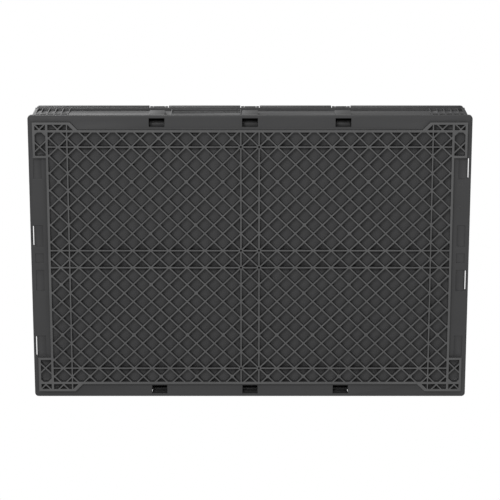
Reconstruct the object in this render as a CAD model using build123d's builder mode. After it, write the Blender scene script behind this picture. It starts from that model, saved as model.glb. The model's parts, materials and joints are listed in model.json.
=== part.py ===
from build123d import *
import os
from math import atan, ceil, cos, degrees, floor, hypot, radians, sin, sqrt

# Folding attached-lid tote, folded down, standing on its foot. Millimetres, +Z up.
# The origin is the centre of the footprint at floor level; the long sides face -Y and +Y.

# ---- driving dimensions ----------------------------------------------------------------
length = 600.0            # footprint along X
width = 400.0             # footprint along Y
frame_lift = 230.0        # how far the rim frame rises when the tote is put up
rest_angle = 4.0          # slope of the folded long walls above the horizontal, degrees

moving_gap = 1.0          # between neighbours that move past each other
seat_gap = 0.3            # between faces that rest on each other
pin_gap = 0.08            # radial play of a hinge pin in its bore

# ---- base tray -------------------------------------------------------------------------
flange_z = 5.0            # underside of the outer flange; the foot stands this far below it
floor_top = 10.5          # upper face of the floor
pocket_depth = 8.0        # depth of the pockets between the underside ribs
flange_corner = 5.0       # plan radius of the flange's corners
foot_inset_x = 24.0       # flange edge to the foot's border, ends
foot_inset_y = 19.4       # flange edge to the foot's border, long sides
pad_inset_x = 6.5         # flange edge to the corner pads, ends
pad_inset_y = 8.8         # flange edge to the corner pads, long sides
pad_lead = 4.0            # corner pad's start before the outermost rib across
pad_run_y = 58.0          # corner pad's reach along the end, from the flange's side
border = 3.2              # border ribs of the foot and pads
rib = 1.8                 # diagonal and straight ribs
pitch_x = 24.7            # lattice pitch along X
pitch_y = 24.2            # lattice pitch along Y
middle_rib = 0.5          # straight ribs beside the middle, in lattice pitches
end_pitches = 1           # whole pitches of the lattice left outside the outermost rib across
drain_radius = 1.25       # holes at the crossings of the straight ribs

sill_height = 20.0        # top of the tray's low perimeter wall
wall_inset = 4.0          # flange edge to the perimeter wall and the frame skirt
sill_wall = 5.0           # thickness of the perimeter wall
post_height = 38.0        # top of the corner posts
post_run_x = 53.0         # post's reach along the long side, from the flange's end
post_run_y = 50.0         # post's reach along the end, from the flange's side
post_shell = 2.5          # wall of a corner post
post_rib = 1.6            # outside ribs of the posts and of the frame's corners
post_rib_step = 9.0       # spacing of those ribs

tab_width = 21.3          # outside tabs over the lid hinges
tab_split = 14.0          # height where the tray's tab ends and the frame's begins
tab_top = 40.0            # top of the frame's tab
end_slot_width = 2.0      # slots that take the end wall's tongues
end_recess = 1.2          # depth of the shallow recesses in the end bands
end_recess_inset = (17.0, 6.0)            # recesses' inner and outer edges, from the flange's end
recess_width = 30.0
recess_clear = 0.4        # outer recesses to the corner pads
catch_recess_width = 13.4
least_pocket = 6.0        # slivers of the lattice smaller than this stay solid

# ---- hinges ----------------------------------------------------------------------------
knuckle_clear = 1.5       # knuckles to the sill, and to the collar at the ends
floor_gap = 1.85          # floor to the swing of the lower walls' heels
barrel_radius = 5.5       # hinge knuckles of the walls
pin_radius = 2.5          # wall hinge pins
knuckle_width = 20.0      # middle knuckle
ear_width = 6.0           # outer knuckles, one each side
ear_gap = 0.4             # sideways play between knuckles
neck = 8.0                # how far a panel is cut back from a hinge axis
base_hinge_inset = 174.0  # flange's end to the outer tray hinges and lid hinges
wall_hinge_inset = 110.0  # flange's end to the outer wall hinges
inner_wall_hinge = 63.0   # middle to the inner wall hinges
root = 1.0                # how far a piece is sunk into the wall that carries it

# ---- long walls ------------------------------------------------------------------------
wall_thickness = 12.0
wall_end_gap = 5.0        # each end of a long wall to the tray's end sill
wall_heel = 4.0           # panel beyond the tray and rim hinge axes
face_gap = 0.4            # outer face of a panel behind the line through its axes
meet_gap = 0.75           # panel edge short of the middle hinge axis
panel_rib = 3.0           # ribs between the fields of a wall's outer face
panel_skin = 2.6          # wall left behind a field
panel_columns = 12
panel_rows = 2

# ---- rim frame -------------------------------------------------------------------------
sill_clear = 2.0          # tray's sill to the skirt above it
skirt_bend = 36.0         # below this the skirt is upright, above it leans inwards
skirt_lean = 3.0          # how far the skirt leans in by its top
skirt_wall = 2.6
lip_rise = 14.0           # collar's lower edge to the underside of the lip
lip_thickness = 3.0
lip_inset = 3.5           # flange edge to the lip's edge
collar_inset_y = 24.0     # flange edge to the inside of the collar, long sides
collar_inset_x = 12.0     # flange edge to the inside of the collar, ends
collar_wall = 2.5
collar_clear = 3.105      # swing of the upper walls' heels to the collar
label_centre_x = -60.0    # label field on the front skirt
label_width = 96.0
label_rail = 1.4
label_rails = (26.0, 44.0, 64.0)          # heights of the rails
grip_width = 110.0        # hand hole in each end of the skirt
grip_bottom = 30.0
grip_top = 58.0

# ---- end walls -------------------------------------------------------------------------
end_axis_rise = 12.0      # collar's lower edge to the end wall's hinge axis
end_wall_thickness = 12.0
end_wall_gap = 1.0        # end wall to the long walls when both stand
end_split = 4.0           # each stowed end wall stops this far short of the middle
tongue_reach = 8.0        # tongues cross the middle by this much
tongue_width = 28.0
tongue_thickness = 5.0
inner_tongue_y = 31.7     # middle to the inner tongue
end_hinge_margin = 36.0   # end wall's edge to its outer hinges
end_skin = 3.0            # end wall left behind a field
end_columns = 4
end_rows = 6
end_heel = 3.0            # end wall beyond its hinge axis
neck_half = 3.0           # half thickness of the end wall's hinge necks

# ---- lids ------------------------------------------------------------------------------
lid_clear = 2.0           # stowed end walls to the ribs under the lids
lid_thickness = 3.4       # underside to the stacking field that takes another tote's foot
lid_edge_height = 8.0     # underside to the top of the raised edge
lid_axis_inset = 6.5      # flange edge to the lid hinge axis
lid_axis_rise = 1.0       # lid's underside to its hinge axis
lid_edge_inset = 3.3      # flange edge to the lid's outer edge
lid_barrel = 3.5
lid_pin_radius = 1.5
lid_pin_gap = 0.05
lid_knuckle_width = 16.0
lid_ear_width = 4.0
lid_ear_gap = 0.4
lid_neck = 5.0            # lid cut back from its hinge axis at the hinges
tooth_depth = 26.0        # interlocking teeth of the two lids
tooth_pitch = 120.0
tooth_slope = 12.0
lid_rib_depth = 4.0       # ribs under the lid
lid_rib = 2.0
lid_rib_clear = 8.0       # ribs to the collar and to the teeth
lid_rib_step_x = 70.0
lid_rib_step_y = 45.0
lid_ear_foot = 2.4        # the lid ears' webs beyond the axis

# ---- worked out from the above ---------------------------------------------------------
half_x = length / 2
half_y = width / 2
slope = radians(rest_angle)
link = frame_lift / 2 / (1 - sin(slope))            # tray hinge to middle hinge
sill_x = half_x - wall_inset
sill_y = half_y - wall_inset
inner_x = sill_x - sill_wall
inner_y = sill_y - sill_wall
hinge_y = inner_y - knuckle_clear - barrel_radius   # tray and rim hinge axes
heel_swing = hypot(wall_heel, wall_thickness)       # reach of a wall's heel about its hinge
base_hinge_z = floor_top + floor_gap + heel_swing
mid_hinge_y = hinge_y - link * cos(slope)
mid_hinge_z = base_hinge_z + link * sin(slope)
rim_hinge_z = base_hinge_z + 2 * link * sin(slope)
skirt_bottom = sill_height + sill_clear
collar_bottom = rim_hinge_z + heel_swing + collar_clear
lip_bottom = collar_bottom + lip_rise
lip_top = lip_bottom + lip_thickness
end_axis_z = collar_bottom + end_axis_rise
lid_bottom = end_axis_z + end_wall_thickness / 2 + lid_clear + lid_rib_depth
lid_axis_z = lid_bottom + lid_axis_rise
lid_field_top = lid_bottom + lid_thickness
lid_top = lid_bottom + lid_edge_height
bore_radius = pin_radius + pin_gap
pin_length = knuckle_width + 2 * ear_gap + 2 * ear_width
cut_half = pin_length / 2 + moving_gap               # half width of a panel's hinge cut-out
base_hinge_x = (base_hinge_inset - half_x, 0.0, half_x - base_hinge_inset)
outer_wall_hinge = half_x - wall_hinge_inset
wall_hinge_x = (-outer_wall_hinge, -inner_wall_hinge, inner_wall_hinge, outer_wall_hinge)
foot_x = half_x - foot_inset_x
foot_y = half_y - foot_inset_y
pad_x = half_x - pad_inset_x
pad_y = half_y - pad_inset_y
outer_rib_x = floor((foot_x - border) / pitch_x) - end_pitches
outer_rib_y = floor((foot_y - border) / pitch_y - middle_rib) + middle_rib
cross_ribs_x = (-outer_rib_x, -middle_rib, middle_rib, outer_rib_x)   # ribs across, in pitches
cross_ribs_y = (-outer_rib_y, -middle_rib, middle_rib, outer_rib_y)   # ribs along, in pitches
pad_start_x = outer_rib_x * pitch_x - pad_lead
outer_tongue_y = half_y - pad_run_y - recess_clear - recess_width / 2
tongue_places = (outer_tongue_y, -inner_tongue_y)    # one end wall's; the other's are turned round
panel_half_x = inner_x - wall_end_gap
lean_angle = degrees(atan(skirt_lean / (lip_bottom - skirt_bend)))
collar_x = half_x - collar_inset_x
collar_y = half_y - collar_inset_y
end_axis_x = collar_x - knuckle_clear - barrel_radius
end_wall_half_y = hinge_y - wall_thickness - end_wall_gap
outer_end_hinge = end_wall_half_y - end_hinge_margin
end_hinge_y = (-outer_end_hinge, -outer_end_hinge / 3, outer_end_hinge / 3, outer_end_hinge)
lid_axis_y = half_y - lid_axis_inset
lid_bore = lid_pin_radius + lid_pin_gap
lid_pin_length = lid_knuckle_width + 2 * lid_ear_gap + 2 * lid_ear_width
lid_cut_half = lid_pin_length / 2 + moving_gap
lid_edge_x = half_x - lid_edge_inset
lid_edge_y = half_y - lid_edge_inset
lid_field_x = pad_x + moving_gap
lid_field_y = pad_y + moving_gap

os.makedirs("parts", exist_ok=True)


def ring(outer, inner, low, high, lean=0.0):
    """Rectangular tube between two heights; outer and inner are half sizes."""
    with BuildSketch(Plane.XY.offset(low)) as outline:
        Rectangle(2 * outer[0], 2 * outer[1])
    with BuildSketch(Plane.XY.offset(low)) as opening:
        Rectangle(2 * inner[0], 2 * inner[1])
    extrude(outline.sketch, amount=high - low, taper=lean)
    extrude(opening.sketch, amount=high - low, taper=lean, mode=Mode.SUBTRACT)


def rods_x(y, z, radius, spans, mode=Mode.ADD):
    """Round rods or bores of one length along X, one for each stretch."""
    with Locations(*[((low + high) / 2, y, z) for low, high in spans]):
        Cylinder(radius, spans[0][1] - spans[0][0], rotation=(0, 90, 0), mode=mode)


def rods_y(x, z, radius, spans, mode=Mode.ADD):
    """Round rods or bores of one length along Y, one for each stretch."""
    with Locations(*[(x, (low + high) / 2, z) for low, high in spans]):
        Cylinder(radius, spans[0][1] - spans[0][0], rotation=(90, 0, 0), mode=mode)


def ear_spans(centres, knuckle, ear, gap):
    """The stretches along the axis that the outer knuckles of each hinge fill."""
    near = knuckle / 2 + gap
    far = near + ear
    return [
        span
        for centre in centres
        for span in ((centre - far, centre - near), (centre + near, centre + far))
    ]


def centred_spans(centres, width):
    """A stretch of one width along the axis at each place."""
    return [(centre - width / 2, centre + width / 2) for centre in centres]


def upright(spans, low, high, mode=Mode.ADD):
    """Upright blocks between two heights, on plan rectangles given as (x span, y span)."""
    with BuildSketch(Plane.XY.offset(low)) as plan:
        for span_x, span_y in spans:
            with Locations((sum(span_x) / 2, sum(span_y) / 2)):
                Rectangle(abs(span_x[1] - span_x[0]), abs(span_y[1] - span_y[0]))
    extrude(plan.sketch, amount=high - low, mode=mode)


def beside(side, near, far):
    """A span on one side of the centre, from its distances."""
    return (side * near, side * far)


def corners(*spans):
    """Plan rectangles repeated at all four corners, from distances to the centre."""
    return [
        (beside(side_x, *span_x), beside(side_y, *span_y))
        for span_x, span_y in spans
        for side_x in (-1, 1)
        for side_y in (-1, 1)
    ]


def steps(first, last, spacing):
    """Evenly spaced places from first to last, no closer than the spacing."""
    count = max(1, int((last - first) / spacing))
    return [first + (last - first) * index / count for index in range(count + 1)]


def clip(outline, axis, limit, keep_below):
    """Cut a convex outline at x or y = limit and keep one side of it."""
    sign = 1 if keep_below else -1
    kept = []
    for index, point in enumerate(outline):
        following = outline[(index + 1) % len(outline)]
        here = sign * (limit - point[axis])
        there = sign * (limit - following[axis])
        if here >= 0:
            kept.append(point)
        if here * there < 0:
            share = here / (here - there)
            kept.append(
                (
                    point[0] + share * (following[0] - point[0]),
                    point[1] + share * (following[1] - point[1]),
                )
            )
    return kept


def outline_area(outline):
    """Area of a closed outline."""
    turned = outline[1:] + outline[:1]
    return abs(sum(a[0] * b[1] - a[1] * b[0] for a, b in zip(outline, turned))) / 2


def lattice_pockets(x_low, x_high, y_low, y_high):
    """Outlines of the lattice's pockets inside one rectangular field between straight ribs."""
    diagonal = sqrt(pitch_x**2 + pitch_y**2)
    tip_x = (pitch_x - rib * diagonal / pitch_y) / 2
    tip_y = (pitch_y - rib * diagonal / pitch_x) / 2
    outlines = []
    for a in range(floor(2 * x_low / pitch_x) - 1, ceil(2 * x_high / pitch_x) + 2):
        for b in range(floor(2 * y_low / pitch_y) - 1, ceil(2 * y_high / pitch_y) + 2):
            if (a + b) % 2 == 0:
                continue
            x = a * pitch_x / 2
            y = b * pitch_y / 2
            outline = [(x + tip_x, y), (x, y + tip_y), (x - tip_x, y), (x, y - tip_y)]
            for axis, limit, keep_below in (
                (0, x_low, False),
                (0, x_high, True),
                (1, y_low, False),
                (1, y_high, True),
            ):
                outline = clip(outline, axis, limit, keep_below)
                if not outline:
                    break
            if outline and outline_area(outline) > least_pocket:
                outlines.append(outline)
    return outlines


def turned_round(outline, side_x, side_y):
    """An outline mirrored into another corner of the tray, run round the same way."""
    mirrored = [(side_x * x, side_y * y) for x, y in outline]
    return mirrored if side_x == side_y else mirrored[::-1]


# Fields of the underside between its straight ribs, as distances along X and Y.
rib_edges_x = [edge * pitch_x + side * rib / 2 for edge in cross_ribs_x for side in (-1, 1)]
rib_edges_y = [edge * pitch_y + side * rib / 2 for edge in cross_ribs_y for side in (-1, 1)]
field_edges_x = [border - foot_x, *rib_edges_x, foot_x - border]
field_edges_y = [border - foot_y, *rib_edges_y, foot_y - border]
pocket_outlines = []
for x_low, x_high in zip(field_edges_x[::2], field_edges_x[1::2]):
    for y_low, y_high in zip(field_edges_y[::2], field_edges_y[1::2]):
        pocket_outlines += lattice_pockets(x_low, x_high, y_low, y_high)

# The corner pads: beside the foot's end border, beyond its side border, and the last triangle.
pad_rib_edge = rib_edges_x[-2]
pad_leg = pad_y - border - foot_y
pad_pockets = lattice_pockets(
    foot_x, pad_x - border, half_y - pad_run_y + border, foot_y - border
)
pad_pockets += lattice_pockets(foot_x, pad_x - border, foot_y, pad_y - border)
pad_pockets += lattice_pockets(pad_rib_edge + rib, foot_x - border, foot_y, pad_y - border)
pad_pockets.append(
    [(pad_rib_edge, foot_y), (pad_rib_edge, pad_y - border), (pad_rib_edge - pad_leg, foot_y)]
)
for side_x in (-1, 1):
    for side_y in (-1, 1):
        pocket_outlines += [turned_round(outline, side_x, side_y) for outline in pad_pockets]
pocket_faces = [Face(Wire.make_polygon(outline, close=True)) for outline in pocket_outlines]


# ---- base tray: foot, ribbed underside, floor, sill, corner posts and hinge ears --------
with BuildPart() as base_tray:
    with BuildSketch(Plane.XY) as foot:
        Rectangle(2 * foot_x, 2 * foot_y)
        for side_x in (-1, 1):
            for side_y in (-1, 1):
                pad = [
                    (pad_start_x - (pad_y - foot_y), foot_y),
                    (pad_start_x, pad_y),
                    (pad_x, pad_y),
                    (pad_x, half_y - pad_run_y),
                    (foot_x - border, half_y - pad_run_y),
                    (foot_x - border, foot_y - border),
                    (pad_start_x - (pad_y - foot_y), foot_y - border),
                ]
                Polygon(*turned_round(pad, side_x, side_y), align=None)
    extrude(amount=floor_top)
    with BuildSketch(Plane.XY.offset(flange_z)) as flange:
        RectangleRounded(length, width, flange_corner)
    extrude(amount=floor_top - flange_z)
    with BuildSketch(Plane.XY.offset(floor_top)) as sill:
        Rectangle(2 * sill_x, 2 * sill_y)
        Rectangle(2 * inner_x, 2 * inner_y, mode=Mode.SUBTRACT)
    extrude(amount=sill_height - floor_top)

    # Corner posts: an angle with outside ribs and a top flange.
    post_x = half_x - post_run_x
    post_y = half_y - post_run_y
    long_leg = ((post_x, sill_x), (inner_y, inner_y + post_shell))
    short_leg = ((inner_x, inner_x + post_shell), (post_y, sill_y))
    long_ribs = [
        ((place, place + post_rib), (inner_y, sill_y))
        for place in steps(post_x, sill_x - post_rib, post_rib_step)
    ]
    short_ribs = [
        ((inner_x, sill_x), (place, place + post_rib))
        for place in steps(post_y, sill_y - post_rib, post_rib_step)
    ]
    upright(corners(long_leg, short_leg, *long_ribs, *short_ribs), floor_top, post_height)
    long_cap = ((post_x, sill_x), (inner_y, sill_y))
    short_cap = ((inner_x, sill_x), (post_y, sill_y))
    upright(corners(long_cap, short_cap), post_height - post_shell, post_height)

    # Windows under the hinges, closed outside by the tabs.
    tab_spans = centred_spans(base_hinge_x, tab_width)
    gate_spans = centred_spans(base_hinge_x, tab_width + 2 * seat_gap)
    ears = ear_spans(base_hinge_x, knuckle_width, ear_width, ear_gap)
    for side in (-1, 1):
        windows = [(span, beside(side, hinge_y, sill_y)) for span in tab_spans]
        upright(windows, flange_z, floor_top, Mode.SUBTRACT)
        gates = [(span, beside(side, inner_y, sill_y)) for span in gate_spans]
        upright(gates, floor_top, sill_height, Mode.SUBTRACT)
        tabs = [(span, beside(side, sill_y, half_y)) for span in tab_spans]
        upright(tabs, flange_z, tab_split)

        # Ears for the lower walls' knuckles.
        webs = [(span, beside(side, inner_y, hinge_y - barrel_radius)) for span in ears]
        upright(webs, pocket_depth, base_hinge_z)
        rods_x(side * hinge_y, base_hinge_z, barrel_radius, ears)
        rods_x(side * hinge_y, base_hinge_z, bore_radius, ears, Mode.SUBTRACT)

    # Shallow recesses in the end bands, and the slots for the end walls' tongues.
    recess_places = [sign * place for sign in (-1, 1) for place in tongue_places]
    recess_spans = centred_spans(recess_places, recess_width)
    recess_spans += centred_spans([0], catch_recess_width)
    recess_x = [half_x - inset for inset in end_recess_inset]
    recesses = [(beside(side, *recess_x), span) for side in (-1, 1) for span in recess_spans]
    upright(recesses, flange_z, flange_z + end_recess, Mode.SUBTRACT)
    slot_x = (sill_x - end_slot_width / 2, sill_x + end_slot_width / 2)
    slots = [
        (beside(side, *slot_x), span)
        for side in (-1, 1)
        for span in centred_spans([-side * place for place in tongue_places], tongue_width)
    ]
    upright(slots, flange_z, floor_top, Mode.SUBTRACT)

    # Drain holes at the crossings of the straight ribs.
    drains = [
        (x * pitch_x, y * pitch_y)
        for x in cross_ribs_x[1:3]
        for y in cross_ribs_y
    ]
    with BuildSketch(Plane.XY) as drain_plan:
        with Locations(*drains):
            Circle(drain_radius)
    extrude(amount=floor_top, mode=Mode.SUBTRACT)

    extrude(Sketch(Compound(pocket_faces).wrapped), amount=pocket_depth, mode=Mode.SUBTRACT, clean=False)
base_tray.part.label = "base_tray"
export_step(base_tray.part, "parts/base_tray.step")


def hinge_knuckles(plane, spans, reach, thickness):
    """Knuckles about the plane's origin, each with a neck out to where the panel begins."""
    for low, high in spans:
        with BuildSketch(plane.offset(low)) as face:
            Circle(barrel_radius)
            with Locations((reach / 2, -(face_gap + thickness) / 2)):
                Rectangle(abs(reach), thickness - face_gap)
        extrude(face.sketch, amount=high - low)
    for low, high in spans:
        with BuildSketch(plane.offset(low)) as bore:
            Circle(bore_radius)
        extrude(bore.sketch, amount=high - low, mode=Mode.SUBTRACT)


def long_wall(near_plane, far_plane, near_places, far_spans):
    """A long wall's panel, hinged at a fixed edge (near) and at the middle hinge (far).

    Both planes look along X, with x running from the near axis to the far one, and the
    panel on the -y side. The near edge has middle knuckles.
    """
    with BuildSketch(near_plane.offset(-panel_half_x)) as face:
        with Locations(((link - meet_gap - wall_heel) / 2, -(face_gap + wall_thickness) / 2)):
            Rectangle(link - meet_gap + wall_heel, wall_thickness - face_gap)
    extrude(face.sketch, amount=2 * panel_half_x)
    for place in near_places:
        with BuildSketch(near_plane.offset(place - cut_half)) as near_cut:
            with Locations(((neck - 2 * wall_heel) / 2, -wall_thickness / 2)):
                Rectangle(neck + 2 * wall_heel, 2 * wall_thickness)
        extrude(near_cut.sketch, amount=2 * cut_half, mode=Mode.SUBTRACT)
    for place in wall_hinge_x:
        with BuildSketch(far_plane.offset(place - cut_half)) as far_cut:
            with Locations((-neck / 2, -wall_thickness / 2)):
                Rectangle(neck, 2 * wall_thickness)
        extrude(far_cut.sketch, amount=2 * cut_half, mode=Mode.SUBTRACT)

    # Fields between ribs on the outer face.
    field_x = (2 * panel_half_x - panel_rib) / panel_columns
    field_s = (link - 2 * neck - (panel_rows + 1) * panel_rib) / panel_rows
    outer_face = Plane(near_plane.origin, x_dir=near_plane.x_dir, z_dir=near_plane.y_dir)
    with BuildSketch(outer_face.offset(-face_gap)) as fields:
        with Locations((link / 2, 0)):
            with GridLocations(field_s + panel_rib, field_x, panel_rows, panel_columns):
                Rectangle(field_s, field_x - panel_rib)
    extrude(fields.sketch, amount=panel_skin + face_gap - wall_thickness, mode=Mode.SUBTRACT)

    near_spans = centred_spans(near_places, knuckle_width)
    hinge_knuckles(near_plane, near_spans, neck + root, barrel_radius)
    hinge_knuckles(far_plane, far_spans, -neck - root, barrel_radius)


def link_plane(y, z, angle, facing=1):
    """Plane across a wall at a hinge axis, with its x along a link at the given slope."""
    return Plane(
        origin=(0, y, z),
        x_dir=(0, cos(radians(angle)), sin(radians(angle))),
        z_dir=(facing, 0, 0),
    )


# ---- long walls, each in two halves -----------------------------------------------------
with BuildPart() as front_wall_lower:
    long_wall(
        link_plane(-hinge_y, base_hinge_z, rest_angle),
        link_plane(-mid_hinge_y, mid_hinge_z, rest_angle),
        base_hinge_x,
        ear_spans(wall_hinge_x, knuckle_width, ear_width, ear_gap),
    )
front_wall_lower.part.label = "front_wall_lower"
export_step(front_wall_lower.part, "parts/front_wall_lower.step")

with BuildPart() as front_wall_upper:
    long_wall(
        link_plane(-hinge_y, rim_hinge_z, -rest_angle, -1),
        link_plane(-mid_hinge_y, mid_hinge_z, -rest_angle, -1),
        wall_hinge_x,
        centred_spans(wall_hinge_x, knuckle_width),
    )
front_wall_upper.part.label = "front_wall_upper"
export_step(front_wall_upper.part, "parts/front_wall_upper.step")

# The back wall is the same pair of mouldings turned round.
with BuildPart() as back_wall_lower:
    add(front_wall_lower.part, rotation=(0, 0, 180))
back_wall_lower.part.label = "back_wall_lower"
export_step(back_wall_lower.part, "parts/back_wall_lower.step")

with BuildPart() as back_wall_upper:
    add(front_wall_upper.part, rotation=(0, 0, 180))
back_wall_upper.part.label = "back_wall_upper"
export_step(back_wall_upper.part, "parts/back_wall_upper.step")


# ---- rim frame: skirt, lip, deck, collar and ribbed corners, without its hinges ----------
with BuildPart() as rim_shell:
    skirt_x = sill_x - skirt_wall
    skirt_y = sill_y - skirt_wall
    ring((sill_x, sill_y), (skirt_x, skirt_y), skirt_bottom, skirt_bend)
    ring((sill_x, sill_y), (skirt_x, skirt_y), skirt_bend, lip_bottom, lean_angle)
    frame_corner = post_height + seat_gap
    cut_x = post_x - moving_gap
    cut_y = post_y - moving_gap
    upright(corners(((cut_x, half_x), (cut_y, half_y))), 0, frame_corner, Mode.SUBTRACT)

    # Ribbed corners.
    lean_x = skirt_x - skirt_lean
    lean_y = skirt_y - skirt_lean
    long_ribs = [
        ((place, place + post_rib), (lean_y + skirt_wall / 2, sill_y))
        for place in steps(post_x, sill_x - post_rib, post_rib_step)
    ]
    short_ribs = [
        ((lean_x + skirt_wall / 2, sill_x), (place, place + post_rib))
        for place in steps(post_y, sill_y - post_rib, post_rib_step)
    ]
    upright(corners(*long_ribs, *short_ribs), frame_corner, lip_top)
    long_sole = ((post_x, sill_x), (skirt_y - root, sill_y))
    short_sole = ((skirt_x - root, sill_x), (post_y, sill_y))
    upright(corners(long_sole, short_sole), frame_corner, frame_corner + post_shell)

    # Lip outside, deck inside, and the collar that the lids close on.
    with BuildSketch(Plane.XY.offset(lip_bottom)) as deck:
        Rectangle(2 * (half_x - lip_inset), 2 * (half_y - lip_inset))
        Rectangle(2 * collar_x, 2 * collar_y, mode=Mode.SUBTRACT)
    extrude(amount=lip_top - lip_bottom)
    with BuildSketch(Plane.XY.offset(collar_bottom)) as collar:
        Rectangle(2 * (collar_x + collar_wall), 2 * (collar_y + collar_wall))
        Rectangle(2 * collar_x, 2 * collar_y, mode=Mode.SUBTRACT)
    extrude(amount=lid_bottom - seat_gap - collar_bottom)

# The frame is four sides, which butt in line with the inside of the collar's long walls.
with BuildPart() as frame_back:
    add(rim_shell.part)
    long_side = ((-half_x, half_x), (collar_y, half_y))
    upright([long_side], 0, lid_top, Mode.INTERSECT)

    # Tabs over the tray's hinges, hanging in front of the sill.
    tabs = [(span, (sill_y + seat_gap, half_y)) for span in tab_spans]
    upright(tabs, tab_split + moving_gap, tab_top)
    roots = [(span, (skirt_y, half_y)) for span in tab_spans]
    upright(roots, skirt_bottom, tab_top)

    # Ears for the lids' knuckles.
    ears = ear_spans(base_hinge_x, lid_knuckle_width, lid_ear_width, lid_ear_gap)
    ear_feet = [(span, (lid_axis_y - lid_barrel, lid_axis_y + lid_ear_foot)) for span in ears]
    upright(ear_feet, lip_bottom, lid_axis_z)
    rods_x(lid_axis_y, lid_axis_z, lid_barrel, ears)
    rods_x(lid_axis_y, lid_axis_z, lid_bore, ears, Mode.SUBTRACT)

    # Ears for the upper walls' knuckles.
    ears = ear_spans(wall_hinge_x, knuckle_width, ear_width, ear_gap)
    blocks = [(span, (hinge_y, skirt_y + root)) for span in ears]
    upright(blocks, rim_hinge_z - barrel_radius, rim_hinge_z + barrel_radius)
    rods_x(hinge_y, rim_hinge_z, barrel_radius, ears)
    rods_x(hinge_y, rim_hinge_z, bore_radius, ears, Mode.SUBTRACT)
frame_back.part.label = "frame_back"
export_step(frame_back.part, "parts/frame_back.step")

# The front is the same, turned round, with a label field of three rails and two stops.
with BuildPart() as frame_front:
    add(frame_back.part, rotation=(0, 0, 180))
    label_low = label_centre_x - label_width / 2
    label_high = label_centre_x + label_width / 2
    label_y = (-sill_y - seat_gap, -lean_y - root)
    for z in label_rails:
        upright([((label_low, label_high), label_y)], z, z + label_rail)
    stops = [
        ((label_low, label_low + label_rail), label_y),
        ((label_high - label_rail, label_high), label_y),
    ]
    upright(stops, label_rails[0], label_rails[-1] + label_rail)
frame_front.part.label = "frame_front"
export_step(frame_front.part, "parts/frame_front.step")

with BuildPart() as frame_right:
    add(rim_shell.part)
    short_side = ((0, half_x), (-collar_y, collar_y))
    upright([short_side], 0, lid_top, Mode.INTERSECT)

    # Ears for the end wall's knuckles.
    ears = ear_spans(end_hinge_y, knuckle_width, ear_width, ear_gap)
    blocks = [((end_axis_x, collar_x + root), span) for span in ears]
    upright(blocks, end_axis_z - barrel_radius, end_axis_z + barrel_radius)
    rods_y(end_axis_x, end_axis_z, barrel_radius, ears)
    rods_y(end_axis_x, end_axis_z, bore_radius, ears, Mode.SUBTRACT)

    # Hand hole.
    grip_y = (-grip_width / 2, grip_width / 2)
    grip = ((collar_x + collar_wall - moving_gap, half_x), grip_y)
    upright([grip], grip_bottom, grip_top, Mode.SUBTRACT)
frame_right.part.label = "frame_right"
export_step(frame_right.part, "parts/frame_right.step")

with BuildPart() as frame_left:
    add(frame_right.part, rotation=(0, 0, 180))
frame_left.part.label = "frame_left"
export_step(frame_left.part, "parts/frame_left.step")


# ---- end walls, stowed flat under the lids ----------------------------------------------
with BuildPart() as end_wall_right:
    bottom = end_axis_z - end_wall_thickness / 2
    top = end_axis_z + end_wall_thickness / 2
    heel_x = end_axis_x + end_heel
    panel_y = (-end_wall_half_y, end_wall_half_y)
    upright([((end_split, heel_x), panel_y)], bottom, top)
    hinge_cuts = [
        ((end_axis_x - neck, heel_x), (y - cut_half, y + cut_half)) for y in end_hinge_y
    ]
    # Notches for the other wall's tongues.
    notches = [
        ((end_split, tongue_reach + moving_gap), span)
        for span in centred_spans(tongue_places, tongue_width + 2 * moving_gap)
    ]
    # Hand hole, in line with the frame's when the wall hangs.
    grip_span = (end_axis_x - (end_axis_z - grip_bottom), end_axis_x - (end_axis_z - grip_top))
    grip_hole = (grip_span, grip_y)
    upright([*hinge_cuts, *notches, grip_hole], bottom, top, Mode.SUBTRACT)
    tongues = [
        ((-tongue_reach, end_split + root), span)
        for span in centred_spans([-place for place in tongue_places], tongue_width)
    ]
    upright(tongues, bottom, bottom + tongue_thickness)
    knuckle_spans = centred_spans(end_hinge_y, knuckle_width)
    necks = [((end_axis_x - neck - root, end_axis_x), span) for span in knuckle_spans]
    upright(necks, end_axis_z - neck_half, end_axis_z + neck_half)
    rods_y(end_axis_x, end_axis_z, barrel_radius, knuckle_spans)
    rods_y(end_axis_x, end_axis_z, bore_radius, knuckle_spans, Mode.SUBTRACT)
    # Fields between ribs on the outer face.
    field_span_x = grip_span[0] - tongue_reach - 4 * panel_rib
    field_x = field_span_x / end_columns - panel_rib
    field_y = (2 * end_wall_half_y - panel_rib) / end_rows - panel_rib
    with BuildSketch(Plane.XY.offset(bottom)) as fields:
        with Locations((tongue_reach + 2 * panel_rib + field_span_x / 2, 0)):
            with GridLocations(field_x + panel_rib, field_y + panel_rib, end_columns, end_rows):
                Rectangle(field_x, field_y)
    extrude(amount=end_wall_thickness - end_skin, mode=Mode.SUBTRACT)
end_wall_right.part.label = "end_wall_right"
export_step(end_wall_right.part, "parts/end_wall_right.step")

with BuildPart() as end_wall_left:
    add(end_wall_right.part, rotation=(0, 0, 180))
end_wall_left.part.label = "end_wall_left"
export_step(end_wall_left.part, "parts/end_wall_left.step")


# ---- lids: two halves with interlocking teeth --------------------------------------------
def tooth_edge():
    """The front lid's toothed inner edge, from beyond -X to beyond +X, turned round onto itself."""
    half_pitch = tooth_pitch / 2
    count = ceil(lid_edge_x / half_pitch)
    points = []
    for index in range(-count - 1, count + 1):
        side = 1 if index % 2 == 0 else -1
        for x in (index * half_pitch + tooth_slope / 2, (index + 1) * half_pitch - tooth_slope / 2):
            points.append((x, side * tooth_depth / 2 - moving_gap))
    return points


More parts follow.
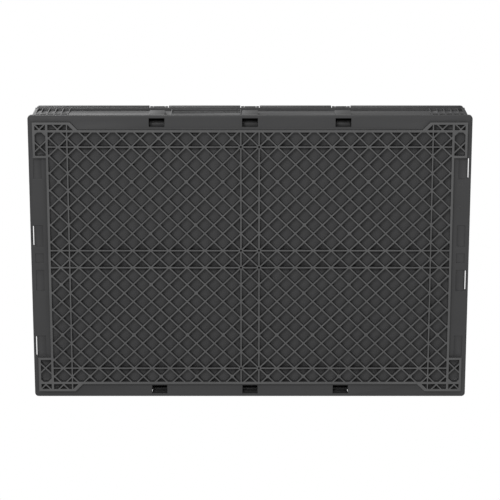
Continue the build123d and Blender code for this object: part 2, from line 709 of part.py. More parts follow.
with BuildPart() as lid_front:
    teeth = tooth_edge()
    half_lid = [(teeth[0][0], -lid_edge_y), *teeth, (teeth[-1][0], -lid_edge_y)]
    with BuildSketch(Plane.XY.offset(lid_bottom)) as plate:
        Polygon(*half_lid, align=None)
        RectangleRounded(2 * lid_edge_x, 2 * lid_edge_y, flange_corner, mode=Mode.INTERSECT)
    extrude(amount=lid_field_top - lid_bottom)
    with BuildSketch(Plane.XY.offset(lid_bottom)) as band:
        Polygon(*half_lid, align=None)
        RectangleRounded(2 * lid_edge_x, 2 * lid_edge_y, flange_corner, mode=Mode.INTERSECT)
        Rectangle(2 * lid_field_x, 2 * lid_field_y, mode=Mode.SUBTRACT)
    extrude(amount=lid_top - lid_bottom)
    # Stiffening ribs underneath.
    rib_low = -collar_y + lid_rib_clear
    rib_high = -tooth_depth / 2 - lid_rib_clear
    rib_end = collar_x - lid_rib_clear
    long_ribs = [
        ((-rib_end, rib_end), (y, y + lid_rib)) for y in steps(rib_low, rib_high, lid_rib_step_y)
    ]
    cross_ribs = [
        ((x, x + lid_rib), (rib_low, rib_high + lid_rib))
        for x in steps(-rib_end, rib_end - lid_rib, lid_rib_step_x)
    ]
    upright([*long_ribs, *cross_ribs], lid_bottom - lid_rib_depth, lid_bottom)
    hinge_cuts = [
        ((x - lid_cut_half, x + lid_cut_half), (-half_y, lid_neck - lid_axis_y))
        for x in base_hinge_x
    ]
    upright(hinge_cuts, lid_bottom, lid_top, Mode.SUBTRACT)
    knuckle_spans = centred_spans(base_hinge_x, lid_knuckle_width)
    necks = [(span, (-lid_axis_y, lid_neck + root - lid_axis_y)) for span in knuckle_spans]
    upright(necks, lid_bottom, lid_field_top)
    rods_x(-lid_axis_y, lid_axis_z, lid_barrel, knuckle_spans)
    rods_x(-lid_axis_y, lid_axis_z, lid_bore, knuckle_spans, Mode.SUBTRACT)
lid_front.part.label = "lid_front"
export_step(lid_front.part, "parts/lid_front.step")

with BuildPart() as lid_back:
    add(lid_front.part, rotation=(0, 0, 180))
lid_back.part.label = "lid_back"
export_step(lid_back.part, "parts/lid_back.step")


# ---- hinge pins, one node for each row ---------------------------------------------------
base_pin_spans = centred_spans(base_hinge_x, pin_length)
wall_pin_spans = centred_spans(wall_hinge_x, pin_length)
lid_pin_spans = centred_spans(base_hinge_x, lid_pin_length)
end_pin_spans = centred_spans(end_hinge_y, pin_length)

for name, side in (("front", -1), ("back", 1)):
    with BuildPart() as base_hinge_pins:
        rods_x(side * hinge_y, base_hinge_z, pin_radius, base_pin_spans)
    base_hinge_pins.part.label = "base_hinge_pins_" + name
    export_step(base_hinge_pins.part, "parts/base_hinge_pins_" + name + ".step")

    with BuildPart() as mid_hinge_pins:
        rods_x(side * mid_hinge_y, mid_hinge_z, pin_radius, wall_pin_spans)
    mid_hinge_pins.part.label = "mid_hinge_pins_" + name
    export_step(mid_hinge_pins.part, "parts/mid_hinge_pins_" + name + ".step")

    with BuildPart() as rim_hinge_pins:
        rods_x(side * hinge_y, rim_hinge_z, pin_radius, wall_pin_spans)
    rim_hinge_pins.part.label = "rim_hinge_pins_" + name
    export_step(rim_hinge_pins.part, "parts/rim_hinge_pins_" + name + ".step")

    with BuildPart() as lid_hinge_pins:
        rods_x(side * lid_axis_y, lid_axis_z, lid_pin_radius, lid_pin_spans)
    lid_hinge_pins.part.label = "lid_hinge_pins_" + name
    export_step(lid_hinge_pins.part, "parts/lid_hinge_pins_" + name + ".step")

for name, side in (("left", -1), ("right", 1)):
    with BuildPart() as end_hinge_pins:
        rods_y(side * end_axis_x, end_axis_z, pin_radius, end_pin_spans)
    end_hinge_pins.part.label = "end_hinge_pins_" + name
    export_step(end_hinge_pins.part, "parts/end_hinge_pins_" + name + ".step")
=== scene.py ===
"""Looks of a folded attached-lid tote: its mouldings, hinge pins, plastic finish and studio."""

import json
import logging
import math
from dataclasses import dataclass, field
from enum import Enum

import bmesh
import bpy
from mathutils import Matrix, Vector

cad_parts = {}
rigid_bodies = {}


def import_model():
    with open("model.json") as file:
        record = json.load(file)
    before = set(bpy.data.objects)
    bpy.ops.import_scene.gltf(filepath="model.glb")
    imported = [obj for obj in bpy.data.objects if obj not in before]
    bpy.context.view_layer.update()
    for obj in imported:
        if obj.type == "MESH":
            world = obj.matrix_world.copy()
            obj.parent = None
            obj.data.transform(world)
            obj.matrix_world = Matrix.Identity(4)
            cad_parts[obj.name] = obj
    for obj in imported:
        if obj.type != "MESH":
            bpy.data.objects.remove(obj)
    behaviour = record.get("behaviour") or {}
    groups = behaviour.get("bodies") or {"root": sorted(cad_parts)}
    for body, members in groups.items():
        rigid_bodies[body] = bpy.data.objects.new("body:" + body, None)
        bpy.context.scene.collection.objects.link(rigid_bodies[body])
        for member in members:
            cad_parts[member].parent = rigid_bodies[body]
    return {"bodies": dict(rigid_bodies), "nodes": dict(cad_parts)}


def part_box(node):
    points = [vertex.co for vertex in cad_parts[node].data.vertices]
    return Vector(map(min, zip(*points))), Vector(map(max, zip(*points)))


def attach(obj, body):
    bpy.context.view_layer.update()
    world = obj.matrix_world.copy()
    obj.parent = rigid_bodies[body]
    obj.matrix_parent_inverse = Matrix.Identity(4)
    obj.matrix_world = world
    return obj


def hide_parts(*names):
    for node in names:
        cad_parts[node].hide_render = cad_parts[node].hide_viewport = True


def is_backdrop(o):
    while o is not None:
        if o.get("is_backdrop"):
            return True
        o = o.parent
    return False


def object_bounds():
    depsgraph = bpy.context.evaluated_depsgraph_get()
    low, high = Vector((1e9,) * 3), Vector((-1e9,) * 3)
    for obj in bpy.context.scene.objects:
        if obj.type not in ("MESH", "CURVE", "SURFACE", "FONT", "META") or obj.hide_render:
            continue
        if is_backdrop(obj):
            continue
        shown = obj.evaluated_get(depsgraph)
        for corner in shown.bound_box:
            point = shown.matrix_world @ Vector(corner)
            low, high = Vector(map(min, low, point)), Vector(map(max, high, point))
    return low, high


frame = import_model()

MM = 0.001
LOG = logging.getLogger("tote")

Span = tuple[float, float]
Colour = tuple[float, float, float]


class Detail(Enum):
    """How finely a moulding's edges are rounded: (radius in metres, segments)."""

    COARSE = (0.6 * MM, 2)
    FINE = (0.35 * MM, 2)
    PIN = (0.3 * MM, 2)


class Slot(Enum):
    """The record's material slots."""

    TRAY = "tray_plastic"
    FRAME = "frame_plastic"
    WALL = "wall_plastic"
    LID = "lid_plastic"
    STEEL = "pin_steel"


# ---- small tools ------------------------------------------------------------------------


def deselect() -> None:
    """Leaves nothing selected."""
    bpy.ops.object.select_all(action="DESELECT")


def activate(piece: bpy.types.Object) -> None:
    """Makes one object the only selected and active one.

    Args:
        piece: The object that the next operators act on.
    """
    deselect()
    piece.select_set(True)
    bpy.context.view_layer.objects.active = piece


def apply_modifiers(piece: bpy.types.Object) -> None:
    """Applies every modifier of a piece, in order.

    Args:
        piece: The object whose modifiers become part of its mesh.
    """
    activate(piece)
    for name in [modifier.name for modifier in piece.modifiers]:
        bpy.ops.object.modifier_apply(modifier=name)


def settle(piece: bpy.types.Object) -> bpy.types.Object:
    """Moves a piece's place into its mesh, so that its object sits at the origin.

    Args:
        piece: The object to settle.

    Returns:
        The same object.
    """
    activate(piece)
    bpy.ops.object.transform_apply(location=True, rotation=True, scale=True)
    return piece


def join(name: str, parts: list[bpy.types.Object]) -> bpy.types.Object:
    """Joins several objects into one.

    Args:
        name: The joined piece's name.
        parts: The objects to join; the first one stays.

    Returns:
        The joined object.
    """
    activate(parts[0])
    for part in parts:
        part.select_set(True)
    if len(parts) > 1:
        bpy.ops.object.join()
    parts[0].name = name
    parts[0].data.name = name
    return parts[0]


def copies(seed: bpy.types.Object, places: list[Vector]) -> list[bpy.types.Object]:
    """Copies a settled seed to each place, each copy with its own mesh, and removes the seed.

    Args:
        seed: The piece modelled once, round the origin.
        places: Where the copies go.

    Returns:
        The copies, settled.
    """
    made = []
    for place in places:
        twin = seed.copy()
        twin.data = seed.data.copy()
        twin.data.transform(Matrix.Translation(place))
        bpy.context.scene.collection.objects.link(twin)
        made.append(twin)
    bpy.data.objects.remove(seed)
    return made


def install(
    piece: bpy.types.Object,
    body: str,
    material: bpy.types.Material,
    nodes: tuple[str, ...] = (),
) -> None:
    """Dresses a finished piece and lets it ride on its body.

    Args:
        piece: The finished piece.
        body: The body that it moves with.
        material: The finish.
        nodes: The CAD nodes that it stands for.
    """
    piece.data.materials.clear()
    piece.data.materials.append(material)
    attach(piece, body)
    if nodes:
        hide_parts(*nodes)
    LOG.info("%s rides on %s with %d faces", piece.name, body, len(piece.data.polygons))


# ---- finishes ---------------------------------------------------------------------------


class NodeBench:
    """A small helper that adds and links shader nodes in one material."""

    def __init__(self, name: str) -> None:
        """Starts an empty material.

        Args:
            name: The material's name.
        """
        self.material = bpy.data.materials.new(name)
        self.material.use_nodes = True
        self.tree = self.material.node_tree
        self.tree.nodes.clear()

    def add(self, kind: str, **values: object) -> bpy.types.Node:
        """Adds a node and sets its inputs or properties by name.

        Args:
            kind: The node's type name without its ShaderNode prefix.
            **values: Input sockets (spaces as underscores) or node properties.

        Returns:
            The new node.
        """
        node = self.tree.nodes.new("ShaderNode" + kind)
        for key, value in values.items():
            socket = key.replace("_", " ")
            if socket in node.inputs:
                node.inputs[socket].default_value = value
            else:
                setattr(node, key, value)
        return node

    def link(self, source: bpy.types.NodeSocket, target: bpy.types.NodeSocket) -> None:
        """Joins two sockets.

        Args:
            source: The socket that gives the value.
            target: The socket that takes it.
        """
        self.tree.links.new(source, target)

    def noise(
        self, vector: bpy.types.NodeSocket, scale: float, detail: float
    ) -> bpy.types.NodeSocket:
        """Adds a noise texture on a vector.

        Args:
            vector: The coordinates it reads.
            scale: Cells per metre.
            detail: Octaves.

        Returns:
            Its value.
        """
        node = self.add("TexNoise", Scale=scale, Detail=detail, Roughness=0.55)
        self.link(vector, node.inputs["Vector"])
        return node.outputs["Fac"]

    def remap(
        self, value: bpy.types.NodeSocket, source: Span, target: Span
    ) -> bpy.types.NodeSocket:
        """Maps a value from one range to another, held within it.

        Args:
            value: The value to map.
            source: Its lowest and highest value.
            target: What they become.

        Returns:
            The mapped value.
        """
        node = self.add("MapRange")
        for socket, number in zip(("From Min", "From Max", "To Min", "To Max"), (*source, *target)):
            node.inputs[socket].default_value = number
        self.link(value, node.inputs["Value"])
        return node.outputs["Result"]

    def times(
        self, first: bpy.types.NodeSocket, second: bpy.types.NodeSocket
    ) -> bpy.types.NodeSocket:
        """Multiplies two values.

        Args:
            first: One value.
            second: The other value.

        Returns:
            Their product.
        """
        node = self.add("Math", operation="MULTIPLY")
        self.link(first, node.inputs[0])
        self.link(second, node.inputs[1])
        return node.outputs["Value"]

    def blend(
        self,
        share: bpy.types.NodeSocket,
        low: Colour | bpy.types.NodeSocket,
        high: Colour | bpy.types.NodeSocket,
    ) -> bpy.types.NodeSocket:
        """Mixes two colours by a share.

        Args:
            share: 0 for the first colour, 1 for the second.
            low: The first colour, or the socket that gives it.
            high: The second colour, or the socket that gives it.

        Returns:
            The mixed colour.
        """
        node = self.add("Mix", data_type="RGBA")
        self.link(share, node.inputs["Factor"])
        for socket, colour in ((node.inputs[6], low), (node.inputs[7], high)):
            if isinstance(colour, tuple):
                socket.default_value = (*colour, 1.0)
            else:
                self.link(colour, socket)
        return node.outputs[2]

    def bump(
        self,
        height: bpy.types.NodeSocket,
        distance: float,
        strength: float,
        under: bpy.types.NodeSocket | None = None,
    ) -> bpy.types.NodeSocket:
        """Adds a bump on a height.

        Args:
            height: The height's pattern.
            distance: The height in metres.
            strength: Share of it that is used.
            under: The normal of the bump below, if any.

        Returns:
            The bumped normal.
        """
        node = self.add("Bump", Distance=distance, Strength=strength)
        self.link(height, node.inputs["Height"])
        if under is not None:
            self.link(under, node.inputs["Normal"])
        return node.outputs["Normal"]


@dataclass(frozen=True)
class MouldedPlastic:
    """Dark recycled plastic: fine grain, faint flow marks, dust in corners, and paler edges and foot
    faces.

    The paler edges are part abrasion, part painted highlight. The paler faces within sole_depth of the
    floor are part scuffing, part painted light on the lit rib tops. flow and scratches are cells per
    metre.
    """

    name: str
    colour: Colour = (0.034, 0.034, 0.035)
    pale: Colour = (0.042, 0.042, 0.043)
    # colour of the paler edges and foot faces: abrasion plus painted highlight
    abraded_and_lit_colour: Colour = (0.115, 0.115, 0.115)
    dust: Colour = (0.060, 0.058, 0.056)
    roughness: Span = (0.50, 0.66)
    grain: float = 1500.0
    flow: tuple[float, float, float] = (5.0, 22.0, 22.0)
    # share of the edge paling, which is part abrasion, part painted highlight
    edge_wear_and_highlight: float = 0.55
    dusty: float = 0.25
    # share of the foot paling, which is part scuffing, part painted light on the lit rib tops
    sole_scuff_and_highlight: float = 0.0
    sole_depth: float = 0.9 * MM
    corner_reach: float = 5 * MM
    scratches: tuple[float, float, float] = (18.0, 520.0, 260.0)
    scratch_turn: float = math.radians(17)

    def build(self) -> bpy.types.Material:
        """Makes the material.

        Returns:
            The finished material.
        """
        bench = NodeBench(self.name)
        place = bench.add("TexCoord").outputs["Object"]
        stretch = bench.add("Mapping", Scale=self.flow)
        bench.link(place, stretch.inputs["Vector"])
        flow = bench.noise(stretch.outputs["Vector"], 1.0, 4.0)
        cloud = bench.noise(place, 9.0, 3.0)
        fleck = bench.noise(place, 420.0, 2.0)
        grain = bench.noise(place, self.grain, 3.0)

        mottle = bench.times(
            bench.remap(flow, (0.3, 0.7), (0.0, 1.0)),
            bench.remap(cloud, (0.3, 0.7), (0.4, 1.0)),
        )
        body = bench.blend(mottle, self.colour, self.pale)

        # Pointiness pales the edges: partly abrasion, partly a painted highlight that lightens the rib
        # edges as though lit.
        edge = bench.add("NewGeometry").outputs["Pointiness"]
        edge_wear_and_highlight_mask = bench.times(
            bench.remap(edge, (0.515, 0.60), (0.0, self.edge_wear_and_highlight)),
            bench.remap(fleck, (0.35, 0.65), (0.35, 1.0)),
        )
        worn_and_lit = bench.blend(edge_wear_and_highlight_mask, body, self.abraded_and_lit_colour)

        # Faces within sole_depth of the floor get paler: partly scuffing, partly painted light that
        # makes the foot's rib tops brighter than the shaded pocket floors.
        height = bench.add("SeparateXYZ")
        bench.link(place, height.inputs["Vector"])
        sole_scuff_and_highlight_mask = bench.times(
            bench.remap(height.outputs["Z"], (0.1 * MM, self.sole_depth), (self.sole_scuff_and_highlight, 0.0)),
            bench.remap(cloud, (0.3, 0.7), (0.55, 1.0)),
        )
        worn_and_lit = bench.blend(sole_scuff_and_highlight_mask, worn_and_lit, self.abraded_and_lit_colour)

        corner = bench.add("AmbientOcclusion", samples=4, Distance=self.corner_reach)
        settled = bench.times(
            bench.remap(corner.outputs["AO"], (0.75, 0.35), (0.0, self.dusty)),
            bench.remap(cloud, (0.35, 0.65), (0.2, 1.0)),
        )
        coloured = bench.blend(settled, worn_and_lit, self.dust)

        scratch_map = bench.add("Mapping", Rotation=(0.0, 0.0, self.scratch_turn), Scale=self.scratches)
        bench.link(place, scratch_map.inputs["Vector"])
        scratch = bench.noise(scratch_map.outputs["Vector"], 1.0, 2.0)
        scuff = bench.remap(scratch, (0.66, 0.76), (0.0, 1.0))

        rough = bench.add("Math", operation="SUBTRACT")
        bench.link(bench.remap(cloud, (0.3, 0.7), self.roughness), rough.inputs[0])
        bench.link(bench.times(scuff, bench.remap(cloud, (0.4, 0.6), (0.0, 0.16))), rough.inputs[1])

        normal = bench.bump(grain, 0.12 * MM, 0.30)
        normal = bench.bump(flow, 0.35 * MM, 0.18, normal)
        normal = bench.bump(scuff, 0.03 * MM, 0.25, normal)

        shader = bench.add("BsdfPrincipled", IOR=1.49)
        bench.link(coloured, shader.inputs["Base Color"])
        bench.link(rough.outputs["Value"], shader.inputs["Roughness"])
        bench.link(normal, shader.inputs["Normal"])
        output = bench.add("OutputMaterial")
        bench.link(shader.outputs["BSDF"], output.inputs["Surface"])
        return bench.material


@dataclass(frozen=True)
class DrawnSteel:
    """Plain steel wire of the hinge pins, drawn lengthwise and lightly greased."""

    name: str
    along: tuple[float, float, float]
    colour: Colour = (0.36, 0.355, 0.35)
    stained: Colour = (0.20, 0.185, 0.17)

    def build(self) -> bpy.types.Material:
        """Makes the material.

        Returns:
            The finished material.
        """
        bench = NodeBench(self.name)
        place = bench.add("TexCoord").outputs["Object"]
        stretch = bench.add("Mapping", Scale=self.along)
        bench.link(place, stretch.inputs["Vector"])
        drawn = bench.noise(stretch.outputs["Vector"], 1.0, 3.0)
        stain = bench.noise(place, 60.0, 4.0)
        shader = bench.add("BsdfPrincipled", Metallic=1.0)
        tint = bench.blend(bench.remap(stain, (0.45, 0.75), (0.0, 0.8)), self.colour, self.stained)
        bench.link(tint, shader.inputs["Base Color"])
        bench.link(bench.remap(drawn, (0.3, 0.7), (0.28, 0.46)), shader.inputs["Roughness"])
        bench.link(bench.bump(drawn, 0.03 * MM, 0.4), shader.inputs["Normal"])
        output = bench.add("OutputMaterial")
        bench.link(shader.outputs["BSDF"], output.inputs["Surface"])
        return bench.material


# ---- mouldings --------------------------------------------------------------------------


@dataclass
class Moulding:
    """One plastic moulding, finished from its CAD nodes: merged, cleaned and rounded."""

    name: str
    nodes: tuple[str, ...]
    body: str
    slot: Slot
    detail: Detail = Detail.COARSE
    seam: float | None = None
    crease: float = math.radians(35)
    merge: float = 0.004 * MM

    def shape(self) -> bpy.types.Object:
        """Copies the nodes' meshes, merges them into one skin and rounds its edges.

        Returns:
            The finished piece.
        """
        parts = []
        for node in self.nodes:
            part = frame["nodes"][node].copy()
            part.data = part.data.copy()
            part.parent = None
            for key in list(part.keys()):
                del part[key]
            bpy.context.scene.collection.objects.link(part)
            parts.append(part)
        piece = join(self.name, parts)
        activate(piece)
        bpy.ops.mesh.customdata_custom_splitnormals_clear()
        bpy.ops.object.mode_set(mode="EDIT")
        bpy.ops.mesh.select_all(action="SELECT")
        bpy.ops.mesh.remove_doubles(threshold=self.merge)
        if self.seam is not None:
            self.open_seam(piece)
        bpy.ops.object.mode_set(mode="OBJECT")
        radius, segments = self.detail.value
        bevel = piece.modifiers.new("rounding", "BEVEL")
        bevel.width = radius
        bevel.segments = segments
        bevel.limit_method = "ANGLE"
        bevel.angle_limit = self.crease
        bevel.use_clamp_overlap = False
        apply_modifiers(piece)
        bpy.ops.object.shade_smooth_by_angle(angle=self.crease)
        return piece

    def open_seam(self, piece: bpy.types.Object) -> None:
        """Deletes the butted end faces of joined nodes, so that they are one skin.

        Args:
            piece: The joined piece, in edit mode.
        """
        mesh = bmesh.from_edit_mesh(piece.data)
        for face in mesh.faces:
            gaps = [abs(abs(vertex.co.y) - self.seam) for vertex in face.verts]
            face.select = max(gaps) < self.merge
        bmesh.update_edit_mesh(piece.data)
        bpy.ops.mesh.delete(type="FACE")
        bpy.ops.mesh.select_all(action="SELECT")
        bpy.ops.mesh.remove_doubles(threshold=self.merge)


# ---- sub-assemblies ---------------------------------------------------------------------


@dataclass
class Tray:
    """The base tray with its ribbed foot, and the small round marks of its mould."""

    finish: bpy.types.Material
    pitch: Span = (24.7 * MM, 24.2 * MM)
    boss_radius: float = 2.5 * MM
    boss_top: float = 8.2 * MM
    boss_sunk: float = 0.05 * MM
    boss_edge: float = 0.3 * MM
    rim: float = 0.5 * MM
    dimple_slope: float = 0.12 * MM
    dimple_depth: float = 0.25 * MM
    mark_radius: float = 2.6 * MM
    mark_slope: float = 0.1 * MM
    mark_depth: float = 0.22 * MM
    flange: float = 5.0 * MM
    sides: int = 16
    mark_places: tuple[Span, ...] = ((287 * MM, -105 * MM), (285 * MM, -72 * MM))
    boss_rows: tuple[tuple[float, tuple[float, ...]], ...] = (
        (7.0, (1.0, 3.0, 5.0, 9.0)),
        (4.5, (1.5, 3.5, 6.5, 8.5, 10.5)),
        (2.0, (3.0,)),
        (1.5, (5.5, 10.5)),
    )

    def crossings(self) -> list[Vector]:
        """Lattice crossings that carry an ejector boss, in all four quarters.

        Returns:
            Their places on the foot's plane.
        """
        return [
            Vector((side_x * column * self.pitch[0], side_y * row * self.pitch[1], self.boss_sunk))
            for row, columns in self.boss_rows
            for column in columns
            for side_x in (-1, 1)
            for side_y in (-1, 1)
        ]

    def boss(self) -> bpy.types.Object:
        """Models one ejector boss: a round post with a rounded rim and a shallow dimple.

        Returns:
            The boss, standing on its own axis at the origin.
        """
        deselect()
        height = self.boss_top - self.boss_sunk
        bpy.ops.mesh.primitive_cylinder_add(
            vertices=self.sides, radius=self.boss_radius, depth=height, location=(0, 0, height / 2)
        )
        seed = bpy.context.object
        bpy.ops.object.mode_set(mode="EDIT")
        bpy.ops.mesh.select_all(action="DESELECT")
        mesh = bmesh.from_edit_mesh(seed.data)
        mesh.select_mode = {"FACE"}
        for face in mesh.faces:
            face.select = face.normal.z < -0.9
        bmesh.update_edit_mesh(seed.data)
        bpy.ops.mesh.bevel(offset=self.boss_edge, segments=2, affect="EDGES")
        bpy.ops.mesh.select_all(action="DESELECT")
        mesh = bmesh.from_edit_mesh(seed.data)
        for face in mesh.faces:
            face.select = face.normal.z < -0.999
        bmesh.update_edit_mesh(seed.data)
        bpy.ops.mesh.inset(thickness=self.rim)
        bpy.ops.mesh.inset(thickness=self.dimple_slope, depth=-self.dimple_depth)
        bpy.ops.object.mode_set(mode="OBJECT")
        settle(seed)
        bpy.ops.object.shade_smooth_by_angle(angle=math.radians(40))
        return seed

    def mark(self) -> bpy.types.Object:
        """Models one round insert mark of the mould on the end band: a thin ring.

        Returns:
            The mark, hanging below the flange at the origin.
        """
        deselect()
        bpy.ops.mesh.primitive_cylinder_add(
            vertices=2 * self.sides,
            radius=self.mark_radius,
            depth=self.rim,
            location=(0, 0, self.flange),
        )
        seed = bpy.context.object
        bpy.ops.object.mode_set(mode="EDIT")
        mesh = bmesh.from_edit_mesh(seed.data)
        mesh.select_mode = {"FACE"}
        for face in mesh.faces:
            face.select = face.normal.z < -0.9
        bmesh.update_edit_mesh(seed.data)
        bpy.ops.mesh.inset(thickness=self.rim)
        bpy.ops.mesh.inset(thickness=self.mark_slope, depth=-self.mark_depth)
        bpy.ops.object.mode_set(mode="OBJECT")
        settle(seed)
        bpy.ops.object.shade_smooth_by_angle(angle=math.radians(30))
        return seed

    def build(self) -> None:
        """Finishes the tray and its round marks."""
        tray = Moulding("tray_moulding", ("base_tray",), "base", Slot.TRAY, Detail.FINE).shape()
        install(tray, "base", self.finish, ("base_tray",))
        bosses = join("ejector_bosses", copies(self.boss(), self.crossings()))
        install(bosses, "base", self.finish)
        marks = [Vector((x, y, 0.0)) for x, y in self.mark_places]
        rings = join("mould_marks", copies(self.mark(), marks))
        install(rings, "base", self.finish)


@dataclass
class LongWalls:
    """The four half panels of the long walls."""

    finish: bpy.types.Material
    halves: tuple[str, ...] = (
        "front_wall_lower",
        "front_wall_upper",
        "back_wall_lower",
        "back_wall_upper",
    )

    def build(self) -> None:
        """Finishes each half panel."""
        for node in self.halves:
            body = node.replace("_wall", "")
            panel = Moulding(node + "_moulding", (node,), body, Slot.WALL).shape()
            install(panel, body, self.finish, (node,))


@dataclass
class RimFrame:
    """The rim frame: four sides that are one moulding."""

    finish: bpy.types.Material
    sides: tuple[str, ...] = ("frame_front", "frame_back", "frame_left", "frame_right")

    def build(self) -> None:
        """Joins the sides into one skin and finishes it."""
        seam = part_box("frame_right")[1].y
        rim = Moulding("rim_moulding", self.sides, "frame", Slot.FRAME, Detail.FINE, seam=seam).shape()
        install(rim, "frame", self.finish, self.sides)


@dataclass
class EndWalls:
    """The two end walls, stowed flat."""

    finish: bpy.types.Material

    def build(self) -> None:
        """Finishes both end walls."""
        for side in ("left", "right"):
            node = "end_wall_" + side
            panel = Moulding(node + "_moulding", (node,), "end_" + side, Slot.WALL).shape()
            install(panel, "end_" + side, self.finish, (node,))


@dataclass
class Lids:
    """The two lids with interlocking teeth."""

    finish: bpy.types.Material

    def build(self) -> None:
        """Finishes both lids."""
        for side in ("front", "back"):
            node = "lid_" + side
            lid = Moulding(node + "_moulding", (node,), node, Slot.LID).shape()
            install(lid, node, self.finish, (node,))


@dataclass
class HingePins:
    """The steel pins, which keep their CAD shape and get rounded ends."""

    along_x: bpy.types.Material
    along_y: bpy.types.Material
    rows: tuple[str, ...] = ("base", "mid", "rim", "lid")

    def build(self) -> None:
        """Dresses every row of pins."""
        names = [f"{row}_hinge_pins_{side}" for row in self.rows for side in ("front", "back")]
        for name in names:
            self.dress(frame["nodes"][name], self.along_x)
        for side in ("left", "right"):
            self.dress(frame["nodes"]["end_hinge_pins_" + side], self.along_y)

    def dress(self, pin: bpy.types.Object, material: bpy.types.Material) -> None:
        """Gives one row of pins its steel and rounded ends.

        Args:
            pin: The CAD node.
            material: The steel.
        """
        pin.data.materials.clear()
        pin.data.materials.append(material)
        radius, segments = Detail.PIN.value
        weld = pin.modifiers.new("weld", "WELD")
        weld.merge_threshold = 0.002 * MM
        bevel = pin.modifiers.new("rounding", "BEVEL")
        bevel.width = radius
        bevel.segments = segments
        bevel.limit_method = "ANGLE"
        bevel.angle_limit = math.radians(50)
        LOG.info("%s dressed", pin.name)


# ---- studio -----------------------------------------------------------------------------


@dataclass(frozen=True)
class SoftLight:
    """One square soft light aimed at the tote."""

    name: str
    place: tuple[float, float, float]
    size: float
    power: float

    def build(self, target: Vector) -> None:
        """Hangs the light.

        Args:
            target: The point that it faces.
        """
        lamp = bpy.data.lights.new(self.name, "AREA")
        lamp.shape = "SQUARE"
        lamp.size = self.size
        lamp.energy = self.power
        holder = bpy.data.objects.new(self.name, lamp)
        holder.location = self.place
        holder.rotation_euler = (target - Vector(self.place)).to_track_quat("-Z", "Y").to_euler()
        bpy.context.scene.collection.objects.link(holder)


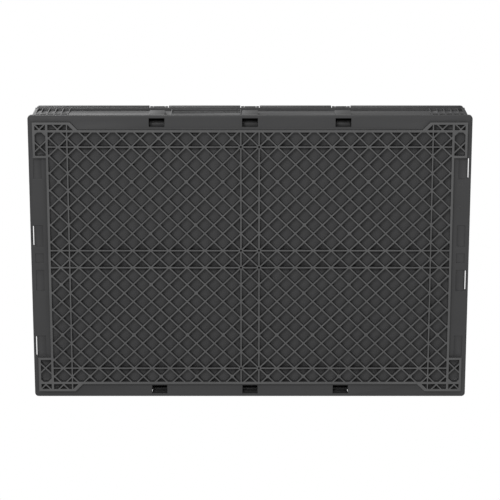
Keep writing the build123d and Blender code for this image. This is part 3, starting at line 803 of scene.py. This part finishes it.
@dataclass
class Studio:
    """Plain pale floor, soft lights above and below, and the camera under the foot."""

    lens: float = 140.0
    place: tuple[float, float, float] = (0.0, -0.730, -2.5615)
    tilt: float = math.radians(14.16)
    yaw: float = 0.0
    shift: float = -0.1
    floor_size: float = 14.0
    floor_drop: float = 0.02 * MM
    floor_paint: tuple[float, float, float, float] = (0.86, 0.86, 0.86, 1.0)
    ambient: float = 0.40
    lights: tuple[SoftLight, ...] = field(
        default_factory=lambda: (
            SoftLight("under_key", (-0.5, -1.5, -2.2), 1.0, 35.0),
            SoftLight("under_fill", (0.5, 1.0, -2.6), 2.2, 12.0),
            SoftLight("upper_key", (-1.4, -1.6, 2.2), 1.6, 60.0),
            SoftLight("upper_fill", (1.8, 1.2, 1.8), 2.0, 30.0),
        )
    )

    def floor(self) -> None:
        """Lays the floor, which is seen from above only."""
        deselect()
        bpy.ops.mesh.primitive_plane_add(size=self.floor_size, location=(0, 0, -self.floor_drop))
        ground = settle(bpy.context.object)
        ground.name = "studio_floor"
        bench = NodeBench("floor_paint")
        paint = bench.add("BsdfDiffuse", Color=self.floor_paint)
        clear = bench.add("BsdfTransparent")
        side = bench.add("NewGeometry").outputs["Backfacing"]
        mix = bench.add("MixShader")
        bench.link(side, mix.inputs[0])
        bench.link(paint.outputs["BSDF"], mix.inputs[1])
        bench.link(clear.outputs["BSDF"], mix.inputs[2])
        output = bench.add("OutputMaterial")
        bench.link(mix.outputs["Shader"], output.inputs["Surface"])
        ground.data.materials.append(bench.material)
        ground.visible_shadow = False
        ground.visible_diffuse = False
        ground.visible_glossy = False
        ground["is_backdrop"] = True

    def world(self) -> None:
        """Makes a white surround that lights the tote softly."""
        surround = bpy.data.worlds.new("surround")
        bpy.context.scene.world = surround
        surround.use_nodes = True
        tree = surround.node_tree
        tree.nodes.clear()
        seen = tree.nodes.new("ShaderNodeBackground")
        seen.inputs["Strength"].default_value = 1.0
        seen.inputs["Color"].default_value = (1.0, 1.0, 1.0, 1.0)
        felt = tree.nodes.new("ShaderNodeBackground")
        felt.inputs["Color"].default_value = (1.0, 1.0, 1.0, 1.0)
        felt.inputs["Strength"].default_value = self.ambient
        path = tree.nodes.new("ShaderNodeLightPath")
        mix = tree.nodes.new("ShaderNodeMixShader")
        output = tree.nodes.new("ShaderNodeOutputWorld")
        tree.links.new(path.outputs["Is Camera Ray"], mix.inputs[0])
        tree.links.new(felt.outputs["Background"], mix.inputs[1])
        tree.links.new(seen.outputs["Background"], mix.inputs[2])
        tree.links.new(mix.outputs["Shader"], output.inputs["Surface"])

    def camera(self) -> None:
        """Sets the camera under the foot, its picture's upper side towards the front."""
        lens = bpy.data.cameras.new("camera")
        lens.lens = self.lens
        lens.shift_y = self.shift
        lens.clip_start = 0.05
        lens.clip_end = 50.0
        holder = bpy.data.objects.new("camera", lens)
        forward = Vector((math.sin(self.yaw), math.tan(self.tilt), 1.0)).normalized()
        right = Vector((1.0, 0.0, 0.0))
        right = (right - right.dot(forward) * forward).normalized()
        up = right.cross(forward)
        turn = Matrix((right, up, -forward)).transposed()
        holder.matrix_world = Matrix.Translation(Vector(self.place)) @ turn.to_4x4()
        bpy.context.scene.collection.objects.link(holder)
        bpy.context.scene.camera = holder

    def build(self, target: Vector) -> None:
        """Builds the floor, the lights and the camera.

        Args:
            target: The middle of the tote.
        """
        bpy.context.scene.view_settings.view_transform = "Standard"
        self.floor()
        self.world()
        self.camera()
        for light in self.lights:
            light.build(target)


def clear_start_scene() -> None:
    """Removes whatever the empty start scene came with."""
    kept = set(frame["nodes"].values()) | set(frame["bodies"].values())
    for item in list(bpy.context.scene.objects):
        if item not in kept:
            bpy.data.objects.remove(item)


def main() -> None:
    """Builds the tote's looks and the studio, in order."""
    logging.basicConfig(level=logging.INFO, format="%(message)s")
    clear_start_scene()
    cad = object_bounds()
    Studio().build((cad[0] + cad[1]) / 2)
    # the tray's lowest foot faces turn paler: part scuffing, part painted light on the rib tops
    Tray(MouldedPlastic("tray_plastic", sole_scuff_and_highlight=0.8).build()).build()
    wall_finish = MouldedPlastic("wall_plastic").build()
    LongWalls(wall_finish).build()
    RimFrame(MouldedPlastic("frame_plastic").build()).build()
    EndWalls(wall_finish).build()
    Lids(MouldedPlastic("lid_plastic", grain=1100.0).build()).build()
    steel_x = DrawnSteel("pin_steel_x", (40.0, 2400.0, 2400.0)).build()
    steel_y = DrawnSteel("pin_steel_y", (2400.0, 40.0, 2400.0)).build()
    HingePins(steel_x, steel_y).build()


if __name__ == "__main__":
    main()
